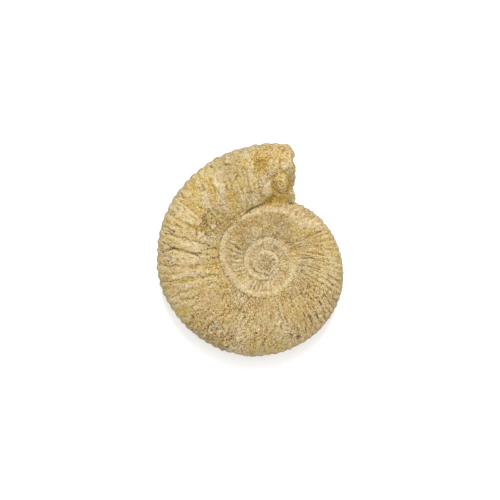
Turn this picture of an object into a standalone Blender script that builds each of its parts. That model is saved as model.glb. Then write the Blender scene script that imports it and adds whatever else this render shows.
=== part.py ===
"""Ammonite fossil: one stone, a ribbed coil of three whorls lying on its side.

The coil opens clockwise seen from above and ends in a broken mouth towards +Y.
Lengths are in millimetres until the last step. Angles are in degrees, counted
anticlockwise from +X, and run on past 360 as the coil winds inwards. A column
is one cut across a whorl, and a row is one line that runs along the coil.
"""

from math import atan2, cos, degrees, radians, sin

import bmesh
import bpy
from mathutils import Euler, Matrix, Vector, noise
from mathutils.bvhtree import BVHTree

MM = 0.001

# The coil, about its own axis.
WHORL_GROWTH = 1.815       # radius gained in one full turn
MOUTH_RADIUS = 50.3        # outer edge at the mouth
MOUTH_ANGLE = 76.5         # where the outer edge ends
MOUTH_SEAM_ANGLE = 65.0    # where the inner edge ends
MOUTH_CORNER = 1.5         # how far the outer edge is rounded off at the mouth
SQUASH = (1.008, 0.992)    # the coil is pressed a little out of round
MOUTH_HALF_WIDTH = 13.0    # half the stone's thickness at the mouth
WIDTH_GROWTH = 1.6         # thickness gained in one full turn
WIDEST_AT = 0.55           # part of a whorl's height where it is thickest
WALL_POWER = 1.5           # roundness of the slope beside the seam
VENTER_POWER = 2.2         # roundness of the outer edge
HUB = Vector((0.45, 1.2))  # middle of the inner whorls from the coil's axis

# The seam where each whorl meets the next one in: angle, and radius about HUB.
SEAM = (
    (65, 26.6), (90, 23.8), (112, 21.4), (150, 19.9), (180, 17.6),
    (200, 15.4), (260, 14.0), (330, 13.0), (420, 12.6), (470, 10.2),
    (540, 9.4), (640, 8.0), (720, 7.2), (800, 5.6), (1150, 5.0),
)
CREASE = 0.4               # how far the seam sinks between two whorls
RIDGE = 0.35               # how far the inner whorl stands up beside it
DEEPEST_COVER = 0.9        # most of a whorl's height that stays in sight
HUB_HEIGHT = 3.2           # middle of the coil above its mid plane
HUB_RIM = 0.7              # raised ring round the middle

# The mesh.
TURN_COLUMNS = 144         # columns in the outer turn, and in the second
SPARSE = 4                 # of those to each column of the innermost turn
FLANK_ROWS = (0.0, 0.07, 0.22, 0.42, 0.63, 0.84, 0.95, 1.0)
ROW_FACING = (0, 0, 0, 0, 15, 40, 70, 90)
INNER_ROWS = (0.0, 0.15, 0.4, 0.65, 0.87, 1.0)
VENTER_ROW = len(FLANK_ROWS) - 1
SEAM_ROW = len(INNER_ROWS) - 1

# The ribs: a pair at the outer edge joins into one on the flank.
RIB_COLUMNS = 4
RIB_LEAN = 10.0            # how far a rib leans towards the mouth
VENTER_RIB = 0.23
FLANK_GROOVE = 0.8
FINE_RIB = 0.3
INNER_RIB = 0.14

# Worn and broken places, each from the coil's axis.
LUMP_HEIGHT = 0.3
LUMP_SIZE = 5.0
SCAR = (128, 153, 22.5, 30.0, 0.9)        # angles, radii and depth of a flake scar
LEDGE = (220, 242, 31.5, 42.0, 0.7)       # the same for a ledge at the rim
PITS = (                                  # x, y, length, width, turn
    (-14.5, 40.2, 2.6, 1.5, 10), (-20.4, 39.2, 1.4, 1.3, 0),
    (-17.6, 39.5, 1.5, 1.2, 40), (-10.9, 35.0, 1.3, 1.2, 0),
    (-5.3, 29.4, 1.6, 1.2, 60), (-28.5, -19.8, 1.6, 1.2, 30),
    (6.6, -25.3, 2.4, 1.1, 70), (14.9, -2.1, 1.8, 1.2, 20),
    (12.3, 7.2, 1.5, 1.2, 0), (7.1, 32.4, 1.8, 1.1, 80),
)
STONES = (                                # x, y, length, width, rise
    (7.1, 32.4, 5.0, 3.6, 0.7), (3.1, 39.0, 4.6, 3.8, 0.5),
    (1.1, 30.2, 5.2, 3.8, 0.8), (8.6, 38.6, 5.0, 4.0, 0.6),
)
STONE_TURN = 80            # they lie nearly along Y
PIT_LIFT = 0.15            # a pit's middle above the surface, and its depth, per width
PIT_DEPTH = 1.6
MOUTH_KNOBS = (                           # x, y, z, radius
    (10.4, 27.8, 5.0, 1.9), (9.6, 33.0, 6.5, 3.0), (8.9, 38.2, 6.5, 4.2),
    (8.6, 43.4, 2.0, 3.7), (8.2, 33.0, -5.5, 4.4), (8.1, 40.5, -5.0, 4.5),
)
MOUTH_BULGE = 0.2
MOUTH_ROUGHNESS = 1.2

# How the stone lies down.
LEAN = (2.2, -0.2)         # turn about X and Y that brings its underside level
WEAR = 0.8                 # depth worn off each place it rests on

STONE_COLOUR = (0.55, 0.40, 0.20, 1.0)
STONE_ROUGHNESS = 0.85
SHARP_ANGLE = 35


def clear_scene():
    for item in list(bpy.data.objects):
        bpy.data.objects.remove(item, do_unlink=True)


def blend(low, high, value):
    """Rise smoothly from 0 at low to 1 at high."""
    part = min(max((value - low) / (high - low), 0.0), 1.0)
    return part * part * (3 - 2 * part)


def window(low, high, fade, value):
    """Stay at 1 between low and high and fade to 0 on either side."""
    return blend(low - fade, low, value) * (1 - blend(high, high + fade, value))


def on_circle(radius, angle):
    return Vector((radius * cos(radians(angle)), radius * sin(radians(angle))))


def seam_radius(angle):
    for (start, low), (end, high) in zip(SEAM, SEAM[1:]):
        if angle <= end:
            return low + (high - low) * (angle - start) / (end - start)
    return SEAM[-1][1]


def venter_radius(angle):
    return MOUTH_RADIUS * WHORL_GROWTH ** (-(angle - MOUTH_ANGLE) / 360)


def reach(angle):
    """The part of a whorl's height that the next whorl out leaves in sight."""
    inner = seam_radius(angle)
    seen = (seam_radius(angle - 360) - inner) / (venter_radius(angle) - inner)
    return min(seen, DEEPEST_COVER)


def flank_height(angle, part):
    """Height of a flank above the mid plane, from its seam (0) to its edge (1)."""
    top = MOUTH_HALF_WIDTH * WIDTH_GROWTH ** (-(angle - MOUTH_ANGLE) / 360)
    if part < WIDEST_AT:
        low = seam_height(angle)
        rise = 1 - (1 - part / WIDEST_AT) ** WALL_POWER
        return low + (top - low) * rise ** (1 / WALL_POWER)
    fall = (part - WIDEST_AT) / (1 - WIDEST_AT)
    return top * max(1 - fall ** VENTER_POWER, 0.0) ** (1 / VENTER_POWER)


def seam_height(angle):
    inner = angle + 360
    if inner > SEAM[-1][0]:
        return HUB_HEIGHT
    return flank_height(inner, reach(inner)) - CREASE


def outer_angles(column):
    """Angles of an outer column's seam end and its end at the outer edge."""
    sweep = MOUTH_SEAM_ANGLE + 360 - MOUTH_ANGLE
    edge = MOUTH_ANGLE + sweep * column / TURN_COLUMNS
    lean = RIB_LEAN * window(100, 125, 20, column)
    lean += (MOUTH_SEAM_ANGLE - MOUTH_ANGLE) * (1 - blend(0, 10, column))
    return edge + lean, edge


def outer_rib(column, part):
    """Height of the ribs of the outer turn."""
    beat = 1 if column % 2 else -1
    worn = 1 - 0.5 * blend(50, 100, column)
    height = beat * VENTER_RIB * worn * blend(0.6, 0.9, part)
    height -= MOUTH_CORNER * (1 - blend(0, 4, column)) * blend(0.84, 1.0, part)
    fine = window(94, 134, 8, column) * window(0.15, 0.9, 0.12, part)
    fine += 0.8 * window(64, 92, 4, column) * window(0.78, 0.95, 0.15, part)
    height += beat * FINE_RIB * fine
    if column % RIB_COLUMNS == 0:
        strong = window(36, 60, 4, column) + 0.5 * window(12, 32, 3, column)
        height -= FLANK_GROOVE * strong * window(0.3, 0.84, 0.2, part)
    return height


def sunk(patch, point):
    """How deep a worn patch sinks at a point seen from above."""
    first, last, near, far, depth = patch
    angle = degrees(atan2(point.y, point.x)) % 360
    return depth * window(first, last, 4.0, angle) * window(near, far, 2.0, point.length)


class Skin:
    """The closed skin of the coil, gathered vertex by vertex."""

    def __init__(self):
        self.mesh = bmesh.new()

    def vertex(self, flat, height, side, facing=0.0, rise=0.0):
        """Add a vertex and push it out, facing between the axis and the rim."""
        spot = Vector((flat.x, flat.y, height * side))
        rise += LUMP_HEIGHT * noise.noise(spot / LUMP_SIZE)
        if side > 0:
            rise -= sunk(SCAR, flat) + sunk(LEDGE, flat)
        out = flat.normalized() * sin(radians(facing)) * rise
        up = cos(radians(facing)) * rise * side
        return self.mesh.verts.new((spot.x + out.x, spot.y + out.y, spot.z + up))

    def strip(self, first, second):
        """Join two columns of the same length with four-sided faces."""
        for row in range(len(first) - 1):
            self.mesh.faces.new((first[row], first[row + 1], second[row + 1], second[row]))

    def fan(self, loop, centre):
        for start, end in zip(loop, loop[1:] + loop[:1]):
            self.mesh.faces.new((start, end, centre))

    def ring(self, loop, centre, scale, lift):
        """Copy a closed loop inwards round a centre, and join the two."""
        copied = [self.mesh.verts.new(centre + (point.co - centre) * scale + lift(point.co))
                  for point in loop]
        self.strip(loop + loop[:1], copied + copied[:1])
        return copied


def outer_column(skin, column, side, edge_vertex, mouth_vertex=None):
    """One cut across the outer turn, from the seam to the shared edge vertex.

    The last column lies under the mouth, so the mouth's seam vertex is part of it.
    """
    seam_angle, edge_angle = outer_angles(column)
    inner = HUB + on_circle(seam_radius(seam_angle), seam_angle)
    outer = on_circle(venter_radius(edge_angle), edge_angle)
    under_mouth = blend(0.8, 1.0, column / TURN_COLUMNS)
    made = []
    for row, part in enumerate(FLANK_ROWS[:-1]):
        if row == SEAM_ROW and mouth_vertex:
            made.append(mouth_vertex)
            continue
        if row <= SEAM_ROW:
            seen = INNER_ROWS[row] * reach(MOUTH_SEAM_ANGLE + 360)
            part += (seen - part) * under_mouth
        angle = seam_angle + (edge_angle - seam_angle) * part
        height = flank_height(angle, part)
        rib = outer_rib(column, part)
        made.append(skin.vertex(inner.lerp(outer, part), height, side, ROW_FACING[row], rib))
    return made + [edge_vertex]


def inner_column(skin, count, angle, side, seam_vertex, outer_angle):
    """One cut across an inner turn, out to the seam of the turn round it."""
    beat = 1 if count % 2 else -1
    inner = HUB + on_circle(seam_radius(angle), angle)
    outer = HUB + on_circle(seam_radius(outer_angle), outer_angle)
    made = []
    for part in INNER_ROWS[:-1]:
        height = flank_height(angle, part * reach(angle))
        rise = RIDGE * window(0.8, 0.9, 0.1, part)
        rise += beat * INNER_RIB * window(0.15, 0.65, 0.14, part)
        made.append(skin.vertex(inner.lerp(outer, part), height, side, 0, rise))
    return made + [seam_vertex]


def outer_edge(skin):
    """The outermost line of the coil, shared by its two sides."""
    made = []
    for column in range(TURN_COLUMNS + 1):
        angle = outer_angles(column)[1]
        rise = outer_rib(column, 1.0)
        made.append(skin.vertex(on_circle(venter_radius(angle), angle), 0, 1, 90, rise))
    return made


def coil_side(skin, side, edge):
    """All the columns of one side, and the loop left open round the hub."""
    columns = [outer_column(skin, c, side, edge[c]) for c in range(TURN_COLUMNS)]
    columns.append(outer_column(skin, TURN_COLUMNS, side, edge[-1], columns[0][0]))
    step = 360 / TURN_COLUMNS
    start = MOUTH_SEAM_ANGLE + 360
    for column in range(1, TURN_COLUMNS + 1):
        outer_angle = outer_angles(column)[0]
        angle = start + column * step
        columns.append(inner_column(skin, column, angle, side, columns[column][0], outer_angle))
    for first, second in zip(columns, columns[1:]):
        rows = min(len(first), len(second))
        skin.strip(first[:rows], second[:rows])
    second_turn = columns[TURN_COLUMNS:]
    innermost = [columns[-1]]
    for column in range(SPARSE, TURN_COLUMNS + 1, SPARSE):
        angle = start + column * step
        seam_vertex = second_turn[column][0]
        made = inner_column(skin, column // SPARSE, angle + 360, side, seam_vertex, angle)
        before = innermost[-1]
        skin.strip(before[:-1], made[:-1])
        between = [passed[0] for passed in second_turn[column - SPARSE:column + 1]]
        skin.mesh.faces.new([before[-2], *between, made[-2]])
        innermost.append(made)
    hub_loop = [made[0] for made in innermost] + innermost[-1][1:-1]
    return columns, hub_loop


def close_hub(skin, loop, side):
    """Fill the middle of one side with a raised ring round a rough hollow."""
    centre = Vector((HUB.x, HUB.y, HUB_HEIGHT * side))

    def rim(point):
        return Vector((0, 0, HUB_RIM * side))

    def floor(point):
        return Vector((0, 0, side * LUMP_HEIGHT * noise.noise(point)))

    ring = skin.ring(loop, centre, 0.82, rim)
    ring = skin.ring(ring, centre, 0.6, floor)
    skin.fan(ring, skin.mesh.verts.new(centre))


def close_mouth(skin, upper, lower):
    """Fill the broken end, between the outer turn and the turn beneath it."""
    loop = upper[0][:] + lower[0][-2::-1]
    loop += lower[TURN_COLUMNS][SEAM_ROW + 1:] + upper[TURN_COLUMNS][-2:SEAM_ROW:-1]
    middle = sum((point.co for point in upper[0][2:] + lower[0][2:]), Vector())
    centre = middle / (2 * len(upper[0][2:]))

    def bulge(point):
        return Vector((MOUTH_BULGE + MOUTH_ROUGHNESS * noise.noise(point / LUMP_SIZE), 0, 0))

    ring = skin.ring(loop, centre, 0.75, bulge)
    ring = skin.ring(ring, centre, 0.6, bulge)
    skin.fan(ring, skin.mesh.verts.new(centre + bulge(centre)))


def build_coil():
    skin = Skin()
    edge = outer_edge(skin)
    upper, upper_hub = coil_side(skin, 1, edge)
    lower, lower_hub = coil_side(skin, -1, edge)
    close_hub(skin, upper_hub, 1)
    close_hub(skin, lower_hub, -1)
    close_mouth(skin, upper, lower)
    bmesh.ops.triangulate(skin.mesh, faces=skin.mesh.faces[:])
    bmesh.ops.recalc_face_normals(skin.mesh, faces=skin.mesh.faces[:])
    return skin.mesh


def new_object(name, mesh):
    """Turn a bmesh into an object in the scene."""
    data = bpy.data.meshes.new(name)
    mesh.to_mesh(data)
    mesh.free()
    item = bpy.data.objects.new(name, data)
    bpy.context.scene.collection.objects.link(item)
    return item


def pebble(spot, size, turn):
    """A rounded body of three diameters, turned in plan."""
    mesh = bmesh.new()
    bmesh.ops.create_icosphere(mesh, subdivisions=2, radius=0.5)
    place = Matrix.Translation(spot) @ Matrix.Rotation(radians(turn), 4, "Z")
    mesh.transform(place @ Matrix.Diagonal((*size, 1.0)))
    return new_object("pebble", mesh)


def combine(stone, tools, operation):
    """Join the tools to the stone, or cut them out of it, one at a time."""
    for tool in tools:
        change = stone.modifiers.new("change", "BOOLEAN")
        change.operation = operation
        change.solver = "EXACT"
        change.object = tool
        evaluated = stone.evaluated_get(bpy.context.evaluated_depsgraph_get())
        changed = bpy.data.meshes.new_from_object(evaluated)
        stone.modifiers.remove(change)
        stone.data = changed
        bpy.data.objects.remove(tool, do_unlink=True)


def top_of(tree, x, y):
    return tree.ray_cast(Vector((x, y, 100)), Vector((0, 0, -1)))[0].z


def stones_and_cuts(stone):
    """Join the lumps to the stone, then sink the pits."""
    tree = BVHTree.FromObject(stone, bpy.context.evaluated_depsgraph_get())
    lumps = []
    for x, y, length, width, rise in STONES:
        spot = (x, y, top_of(tree, x, y) - rise)
        lumps.append(pebble(spot, (length, width, 4 * rise), STONE_TURN))
    for x, y, z, radius in MOUTH_KNOBS:
        lumps.append(pebble((x, y, z), (2 * radius,) * 3, 0))
    combine(stone, lumps, "UNION")
    tree = BVHTree.FromObject(stone, bpy.context.evaluated_depsgraph_get())
    cuts = []
    for x, y, length, width, turn in PITS:
        spot = (x, y, top_of(tree, x, y) + PIT_LIFT * width)
        cuts.append(pebble(spot, (length, width, PIT_DEPTH * width), turn))
    combine(stone, cuts, "DIFFERENCE")


def lay_down(stone):
    """Level the underside, wear it flat where it rests, and centre the stone."""
    lean = Euler((radians(LEAN[0]), radians(LEAN[1]), 0)).to_matrix()
    lean = lean @ Matrix.Diagonal((*SQUASH, 1.0))
    spots = [lean @ vertex.co for vertex in stone.data.vertices]
    lows = [min(spot[axis] for spot in spots) for axis in range(3)]
    highs = [max(spot[axis] for spot in spots) for axis in range(3)]
    shift = Vector(((lows[0] + highs[0]) / 2, (lows[1] + highs[1]) / 2, lows[2] + WEAR))
    for vertex, spot in zip(stone.data.vertices, spots):
        spot = spot - shift
        spot.z = max(spot.z, 0.0)
        vertex.co = spot * MM


def paint(stone):
    material = bpy.data.materials.new("limestone")
    material.use_nodes = True
    shader = material.node_tree.nodes["Principled BSDF"]
    shader.inputs["Base Color"].default_value = STONE_COLOUR
    shader.inputs["Roughness"].default_value = STONE_ROUGHNESS
    shader.inputs["Metallic"].default_value = 0.0
    stone.data.materials.clear()
    stone.data.materials.append(material)
    stone.data.shade_smooth()
    stone.data.set_sharp_from_angle(angle=radians(SHARP_ANGLE))


clear_scene()
ammonite = new_object("ammonite", build_coil())
stones_and_cuts(ammonite)
lay_down(ammonite)
paint(ammonite)
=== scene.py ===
from math import cos, pi, radians, sin

import bmesh
import bpy
import numpy as np
from mathutils import Euler, Matrix, Vector, noise


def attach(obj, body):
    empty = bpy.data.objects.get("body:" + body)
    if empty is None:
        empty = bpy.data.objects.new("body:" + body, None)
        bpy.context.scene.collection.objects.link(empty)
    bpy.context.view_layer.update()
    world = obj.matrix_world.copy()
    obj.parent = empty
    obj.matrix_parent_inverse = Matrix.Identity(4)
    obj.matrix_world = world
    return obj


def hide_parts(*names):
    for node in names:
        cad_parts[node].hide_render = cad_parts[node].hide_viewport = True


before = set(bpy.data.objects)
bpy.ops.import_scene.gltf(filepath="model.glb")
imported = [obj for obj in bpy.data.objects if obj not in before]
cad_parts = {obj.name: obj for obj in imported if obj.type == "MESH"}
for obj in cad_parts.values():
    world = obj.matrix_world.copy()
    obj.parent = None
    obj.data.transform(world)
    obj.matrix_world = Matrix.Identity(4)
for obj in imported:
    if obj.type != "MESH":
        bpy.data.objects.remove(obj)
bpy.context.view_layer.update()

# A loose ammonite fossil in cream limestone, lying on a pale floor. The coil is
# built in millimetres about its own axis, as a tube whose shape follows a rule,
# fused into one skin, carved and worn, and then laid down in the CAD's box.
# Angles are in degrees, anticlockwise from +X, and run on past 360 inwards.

MM = 0.001

# The coil, with radii from its axis.
WHORL_GROWTH = 1.815       # how many times the outer edge grows in a turn
MOUTH_RADIUS = 50.3
MOUTH_ANGLE = 76.5         # of the mouth's outer corner
MOUTH_SEAM_ANGLE = 65.0    # of the mouth's inner corner
MOUTH_HALF_WIDTH = 13.0
CORNER_SIZE = 2.4          # how far the mouth's outer corner is worn round
CORNER_SWEEP = 3.2         # and over how many degrees
CORNER_POWER = 2.5
WIDTH_GROWTH = 1.6         # how many times a whorl's thickness grows in a turn
WIDEST_AT = 0.55           # the part of a whorl's height where it is thickest
WALL_POWER = 1.5           # how square the section is inside that part
VENTER_POWER = 2.2         # and outside it
HUB = (0.45, 1.2)          # the middle of the seam's spiral
HUB_HEIGHT = 3.4
CREASE = 0.5               # how far the seam lies under the whorl inside it
DEEPEST_COVER = 0.9
COIL_END = 1150.0
SWEEP = COIL_END - MOUTH_ANGLE
# The seam's spiral: angle along the coil, and radius from the hub.
SEAM = (
    (65, 26.6), (90, 23.8), (112, 21.4), (150, 19.9), (180, 17.6),
    (200, 15.4), (260, 14.0), (330, 13.0), (390, 12.8), (420, 11.4), (450, 10.6),
    (480, 9.4), (540, 8.6), (600, 7.4), (640, 6.8), (720, 5.9), (800, 5.2), (1150, 4.6),
)

# How the stone lies: squeezed a little out of true, turned level and worn flat below.
SQUASH = (1.008, 0.992)
LEVEL_TURN = (2.2, -0.2)
WEAR = 0.8                 # depth worn off each place it rests on

# The tube's grid.
COLUMNS = 1900
ROWS = 90
CAP_COLUMNS = 24
HIDDEN_ROWS = 3
CURVE_STATIONS = 110
WELD = 0.0005              # points this near each other at the poles are one point
SKIN_GRAIN = 0.35          # size of the fused skin's faces
UNDERSIDE_KEPT = 0.17      # the share of the underside's faces that is kept

# The ribs.
RIB_STEP = 9.65            # degrees from one flank rib to the next
FIRST_RIB_GROOVE = 161.8
VENTER_RIB = 0.22
VENTER_WORN = (190, 300, 0.5)      # the ribs of the edge fade by this share
FINE_RIB = 0.12
FINE_RIBS = (300, 400, 25)         # where the fine ribs are whole
INNER_RIBS = (425, 440, 0.4)       # and where this share of them comes back
RIB_LEAN = 15.0            # how far a rib's seam end runs ahead of its outer end
LEANING_RIBS = (318, 378, 45)
MOUTH_SLANT_FADE = 24      # degrees in which the mouth's own slant dies away


def blend(low, high, value):
    """Go smoothly from 0 at low to 1 at high, for numbers and arrays."""
    part = np.clip((value - low) / (high - low), 0.0, 1.0)
    return part * part * (3 - 2 * part)


def window(low, high, fade, value):
    """Stay at 1 between low and high and fade to 0 on either side."""
    return blend(low - fade, low, value) * (1 - blend(high, high + fade, value))


# ---------------------------------------------------------------- the rule

def seam_radius(angle):
    """Distance from the hub to the seam at the inner side of a whorl."""
    stations, radii = zip(*SEAM)
    return np.interp(angle, stations, radii)


def venter_radius(angle):
    """Distance from the axis to a whorl's outer edge."""
    return MOUTH_RADIUS * WHORL_GROWTH ** (-(angle - MOUTH_ANGLE) / 360)


def half_width(angle):
    """Height of a whorl's thickest part above the mid plane."""
    return MOUTH_HALF_WIDTH * WIDTH_GROWTH ** (-(angle - MOUTH_ANGLE) / 360)


def reach(angle):
    """The part of a whorl's height that the next whorl out leaves in sight."""
    inner = seam_radius(angle)
    seen = (seam_radius(angle - 360) - inner) / (venter_radius(angle) - inner)
    return min(seen, DEEPEST_COVER)


def flank_height(angle, part):
    """Height of a flank above the mid plane, from its seam (0) to its edge (1)."""
    top = half_width(angle)
    if part < WIDEST_AT:
        low = seam_height(angle)
        rise = 1 - (1 - part / WIDEST_AT) ** WALL_POWER
        return low + (top - low) * rise ** (1 / WALL_POWER)
    fall = (part - WIDEST_AT) / (1 - WIDEST_AT)
    return top * max(1 - fall ** VENTER_POWER, 0.0) ** (1 / VENTER_POWER)


def seam_height(angle):
    """Height at which a whorl's flank starts, on the back of the one inside it."""
    inner = angle + 360
    if inner > COIL_END:
        return HUB_HEIGHT
    return flank_height(inner, reach(inner)) - CREASE


def rib_lean(angle):
    """How many degrees a rib's seam end runs ahead of its outer end."""
    return RIB_LEAN * window(*LEANING_RIBS, angle)


def section_lean(angle):
    """How far a section's seam end runs ahead, with the mouth's own slant."""
    slant = blend(MOUTH_SLANT_FADE, 0, angle - MOUTH_ANGLE)
    return rib_lean(angle) + (MOUTH_SEAM_ANGLE - MOUTH_ANGLE) * slant


# ------------------------------------------------------------ node helpers

def add(tree, kind, settings=None, links=None):
    """Add one node, with its settings and what its inputs are joined to.

    A setting is a property of the node, or else one of its inputs, by name or number.
    """
    node = tree.nodes.new(kind)
    for name, value in (settings or {}).items():
        if isinstance(name, str) and hasattr(node, name):
            setattr(node, name, value)
        else:
            node.inputs[name].default_value = value
    for name, source in (links or {}).items():
        tree.links.new(source, node.inputs[name])
    return node


def fill_curve(node, rule, stations):
    """Give a Float Curve node the values of a rule at even stations from 0 to 1."""
    curve = node.mapping.curves[0]
    for index in range(stations + 1):
        spot = index / stations
        if index < 2:
            point = curve.points[index]
            point.location = (spot, rule(spot))
        else:
            point = curve.points.new(spot, rule(spot))
        point.handle_type = "VECTOR"
    node.mapping.update()


def put(name, data):
    """A new object in the scene, at the origin."""
    item = bpy.data.objects.new(name, data)
    bpy.context.scene.collection.objects.link(item)
    return item


def modified(mesh, kind, settings, chosen=None):
    """What one modifier makes of a mesh, or of its chosen points, as a plain mesh."""
    item = put("shaped", mesh)
    if chosen is not None:
        item.vertex_groups.new(name="chosen").add(chosen, 1.0, "REPLACE")
    modifier = item.modifiers.new(kind, kind)
    for name, value in settings.items():
        if hasattr(modifier, name):
            setattr(modifier, name, value)
        else:
            modifier[name] = value
    evaluated = item.evaluated_get(bpy.context.evaluated_depsgraph_get())
    made = bpy.data.meshes.new_from_object(evaluated)
    item.modifiers.clear()
    bpy.data.objects.remove(item, do_unlink=True)
    return made


def hex_colour(text):
    """Turn an sRGB hex value into a linear colour."""
    parts = [int(text[i:i + 2], 16) / 255 for i in (0, 2, 4)]
    return tuple(p / 12.92 if p <= 0.04045 else ((p + 0.055) / 1.055) ** 2.4
                 for p in parts) + (1.0,)


# ---------------------------------------------------------- the coil's tube

TUBE_INPUTS = (
    ("Mouth Angle", MOUTH_ANGLE), ("Sweep", SWEEP),
    ("Mouth Radius", MOUTH_RADIUS), ("Whorl Growth", WHORL_GROWTH),
    ("Mouth Half Width", MOUTH_HALF_WIDTH), ("Width Growth", WIDTH_GROWTH),
    ("Widest At", WIDEST_AT), ("Wall Power", WALL_POWER),
    ("Venter Power", VENTER_POWER), ("Hub X", HUB[0]), ("Hub Y", HUB[1]),
    ("Rib Step", RIB_STEP), ("First Rib Groove", FIRST_RIB_GROOVE),
    ("Venter Rib", VENTER_RIB), ("Fine Rib", FINE_RIB),
    ("Corner Size", CORNER_SIZE), ("Corner Sweep", CORNER_SWEEP),
)
RADIUS_SPAN = 30.0         # a radius curve's full height, in millimetres
LEAN_SPAN = 30.0           # and the lean curve's, in degrees

# The signs and words of a step's sum, and the Math operations that they stand for.
OPERATIONS = {
    "+": "ADD", "-": "SUBTRACT", "*": "MULTIPLY", "/": "DIVIDE", "^": "POWER",
    "%": "MODULO", ">": "GREATER_THAN", "min": "MINIMUM", "max": "MAXIMUM",
    "floor": "FLOOR", "radians": "RADIANS", "cos": "COSINE", "sin": "SINE",
}
STEP_NUMBERS = {
    "radius span": RADIUS_SPAN, "lean span": LEAN_SPAN, "corner power": CORNER_POWER,
    "mouth seam angle": MOUTH_SEAM_ANGLE, "whole sweep": SWEEP,
    "full turn": 2 * pi, "two turns": 4 * pi,
}
# Each step is a name and one sum of what came before it.
PLACE_STEPS = """
    index over rows = index / Rows
    column = floor index over rows
    row = index % Rows
    last row = Rows - 1
    last column = Columns - 1
    last open column = last column - Cap Columns
    past cap = column - Cap Columns
    open column = past cap max 0
    open columns = last open column - Cap Columns
    open part = open column / open columns
    along = open part min 1
    to mouth = column / Cap Columns
    to end = last column - column
    end part = to end / Cap Columns
    nearest end = to mouth min end part
    section size = nearest end min 1
    swept = along * Sweep
    edge angle = swept + Mouth Angle
    round part = row / last row
    round turn = round part * full turn
    round cosine = cos round turn
    round half = round cosine * -0.5
    part = round half + 0.5
    below = round part > 0.5
    below twice = below * -2
    side = below twice + 1
    # the hidden wall behind the seam, which joins the two flanks
    rows left = last row - row
    hidden row = row min rows left
    hidden part = hidden row / Hidden Rows
    flank share = hidden part min 1
"""
LEAN_STEPS = """
    lean share = lean curve - 0.5
    lean = lean share * lean span
    seam angle = edge angle + lean
    from seam start = seam angle - mouth seam angle
    seam along = from seam start / whole sweep
"""
SECTION_STEPS = """
    seam radius = seam curve * radius span
    seam height = height curve * radius span
    turns = swept / -360
    whorl shrink = Whorl Growth ^ turns
    corner passed = swept / Corner Sweep
    corner left = 1 - corner passed
    corner left over 0 = corner left max 0
    corner curve = corner left over 0 ^ corner power
    corner cut = corner curve * Corner Size
    whole radius = Mouth Radius * whorl shrink
    edge radius = whole radius - corner cut
    width shrink = Width Growth ^ turns
    top = Mouth Half Width * width shrink
    # the wall, from the seam to where the whorl is thickest
    wall part = part / Widest At
    wall left = 1 - wall part
    wall left over 0 = wall left max 0
    wall fall = wall left over 0 ^ Wall Power
    wall rise = 1 - wall fall
    wall root = 1 / Wall Power
    wall shape = wall rise ^ wall root
    wall height = top - seam height
    wall share = wall height * wall shape
    wall = wall share + seam height
    # the outer slope, from there to the edge
    past widest = part - Widest At
    past widest over 0 = past widest max 0
    outer span = 1 - Widest At
    outer part = past widest over 0 / outer span
    outer fall = outer part ^ Venter Power
    outer rise = 1 - outer fall
    outer rise over 0 = outer rise max 0
    outer root = 1 / Venter Power
    outer shape = outer rise over 0 ^ outer root
    outer slope = top * outer shape
    is outer = part > Widest At
    is wall = 1 - is outer
    outer kept = outer slope * is outer
    wall kept = wall * is wall
    height = outer kept + wall kept
    shown height = height * flank share
    sided height = shown height * side
    z = sided height * section size
    # plan position, between the seam and the outer edge
    from middle = part - 0.5
    sized from middle = from middle * section size
    sized part = sized from middle + 0.5
    edge turn = radians edge angle
    seam turn = radians seam angle
    edge cosine = cos edge turn
    edge sine = sin edge turn
    seam cosine = cos seam turn
    seam sine = sin seam turn
    edge x = edge cosine * edge radius
    edge y = edge sine * edge radius
    seam out x = seam cosine * seam radius
    seam out y = seam sine * seam radius
    seam x = seam out x + Hub X
    seam y = seam out y + Hub Y
    span x = edge x - seam x
    span y = edge y - seam y
    part x = span x * sized part
    part y = span y * sized part
    x = part x + seam x
    y = part y + seam y
    # the ribs: two beats to each flank rib
    past first rib = edge angle - First Rib Groove
    rib count = past first rib / Rib Step
    rib turn = rib count * two turns
    rib cosine = cos rib turn
    beat = rib cosine * -1
    venter share = edge curve * Venter Rib
    venter worn = venter share * wear curve
    fine share = flank curve * Fine Rib
    fine worn = fine share * strength curve
    rib size = venter worn + fine worn
    rib rise = rib size * beat
    rise = rib rise * section size
"""


def edge_wear(angle):
    """The share of the edge's ribs that wear has left."""
    first, last, lost = VENTER_WORN
    return 1 - lost * blend(first, last, angle)


def fine_strength(angle):
    """The share of the fine ribs that is left."""
    first, last, share = INNER_RIBS
    return window(*FINE_RIBS, angle) + share * blend(first, last, angle)


# What each curve holds, by the value it reads: the part of the sweep from the mouth's
# outer corner, or from its inner one, or the part of the whorl's height.
ALONG_CURVES = (
    ("lean curve", lambda u: 0.5 + section_lean(MOUTH_ANGLE + u * SWEEP) / LEAN_SPAN),
    ("wear curve", lambda u: edge_wear(MOUTH_ANGLE + u * SWEEP)),
    ("strength curve", lambda u: fine_strength(MOUTH_ANGLE + u * SWEEP)),
)
SEAM_CURVES = (
    ("seam curve", lambda u: seam_radius(MOUTH_SEAM_ANGLE + u * SWEEP) / RADIUS_SPAN),
    ("height curve", lambda u: seam_height(MOUTH_SEAM_ANGLE + u * SWEEP) / RADIUS_SPAN),
)
ACROSS_CURVES = (
    ("edge curve", lambda part: blend(0.78, 0.96, part)),
    ("flank curve", lambda part: window(0.15, 0.9, 0.12, part)),
)


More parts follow.
